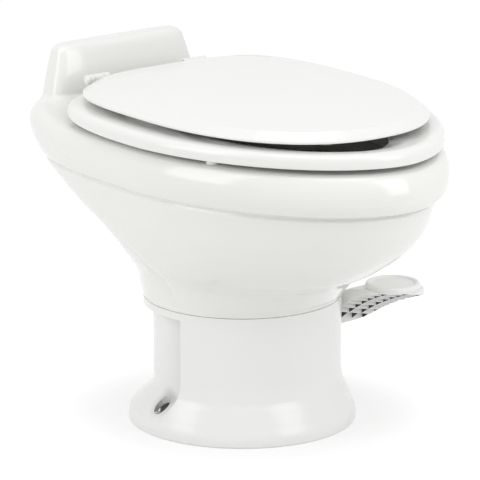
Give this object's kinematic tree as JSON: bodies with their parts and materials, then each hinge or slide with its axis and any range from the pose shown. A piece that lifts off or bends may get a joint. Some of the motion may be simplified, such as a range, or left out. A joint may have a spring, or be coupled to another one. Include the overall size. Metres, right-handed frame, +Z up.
{
  "type": "rv toilet",
  "caption": "White china recreational-vehicle toilet with an elongated bowl, lidded seat, raised rear cover, round pedestal and a side foot pedal that opens a ball valve.",
  "frame": {"origin": "centre of the overall box in plan, on the floor plane", "axes": "+Z up, -Y towards the front of the bowl, +X towards the side with the foot pedal"},
  "size_m": [0.381, 0.593, 0.431],
  "materials": {
    "china": "gloss glaze",
    "seat_plastic": "gloss",
    "pedestal_plastic": "gloss",
    "pedal_plastic": "satin",
    "valve_plastic": "satin",
    "rubber": "matte",
    "steel": "satin",
    "clear_hose": "satin"
  },
  "bodies": {
    "base": {"bowl": "china", "rinse_nozzle": "valve_plastic", "pedestal": "pedestal_plastic", "bowl_seal": "rubber", "half_clamp_left": "valve_plastic", "half_clamp_right": "valve_plastic", "clamp_screw_front": "steel", "clamp_screw_rear": "steel", "clamp_nut_front": "steel", "clamp_nut_rear": "steel", "shaft_bushing": "valve_plastic", "return_spring": "steel", "water_valve": "valve_plastic", "inlet_nut": "valve_plastic", "valve_screw_inner": "steel", "valve_screw_outer": "steel", "vacuum_breaker": "valve_plastic", "breaker_cap": "valve_plastic", "supply_hose": "clear_hose", "rinse_hose": "clear_hose", "floor_seal": "rubber", "floor_bolt_left": "steel", "floor_washer_left": "steel", "floor_nut_left": "steel", "hinge_post_left": "seat_plastic", "hinge_pin_left": "steel", "hinge_bolt_left": "seat_plastic", "hinge_washer_left": "seat_plastic", "wing_nut_left": "seat_plastic", "floor_bolt_right": "steel", "floor_washer_right": "steel", "floor_nut_right": "steel", "hinge_post_right": "seat_plastic", "hinge_pin_right": "steel", "hinge_bolt_right": "seat_plastic", "hinge_washer_right": "seat_plastic", "wing_nut_right": "seat_plastic"},
    "seat": {"seat_ring": "seat_plastic", "seat_bumper_front_left": "seat_plastic", "seat_bumper_front_right": "seat_plastic", "seat_bumper_rear_left": "seat_plastic", "seat_bumper_rear_right": "seat_plastic", "seat_hinge_arm_left": "seat_plastic", "seat_hinge_arm_right": "seat_plastic"},
    "cover": {"lid": "seat_plastic", "lid_bumper_front_left": "seat_plastic", "lid_bumper_front_right": "seat_plastic", "lid_bumper_side_left": "seat_plastic", "lid_bumper_side_right": "seat_plastic", "lid_hinge_arm_left": "seat_plastic", "lid_hinge_arm_right": "seat_plastic"},
    "pedal": {"flush_pedal": "pedal_plastic", "pedal_hub_cap": "pedal_plastic", "pedal_shaft": "steel", "flush_ball": "valve_plastic", "ball_pivot": "steel", "valve_cam": "valve_plastic"},
    "plunger": {"valve_plunger": "steel"}
  },
  "joints": [
    {"name": "seat_hinge", "type": "hinge", "parent": "base", "child": "seat", "pos_m": [0, 0.2075, 0.394], "axis": [-1, 0, 0], "range_deg": [0, 24]},
    {"name": "lid_hinge", "type": "hinge", "parent": "seat", "child": "cover", "pos_m": [0, 0.2075, 0.394], "axis": [-1, 0, 0], "range_deg": [0, 100]},
    {"name": "pedal_hinge", "type": "hinge", "parent": "base", "child": "pedal", "pos_m": [0, 0.0175, 0.1095], "axis": [1, 0, 0], "range_deg": [0, 55], "stiffness_Nm_per_rad": 1.5, "springref_deg": -28.65},
    {"name": "plunger_slide", "type": "slide", "parent": "base", "child": "plunger", "axis": [0, 1, 0], "range_m": [0, 0.0042]}
  ],
  "couplings": [
    {"joint": "plunger_slide", "follows": "pedal_hinge", "m_per_rad": 0.004167}
  ]
}
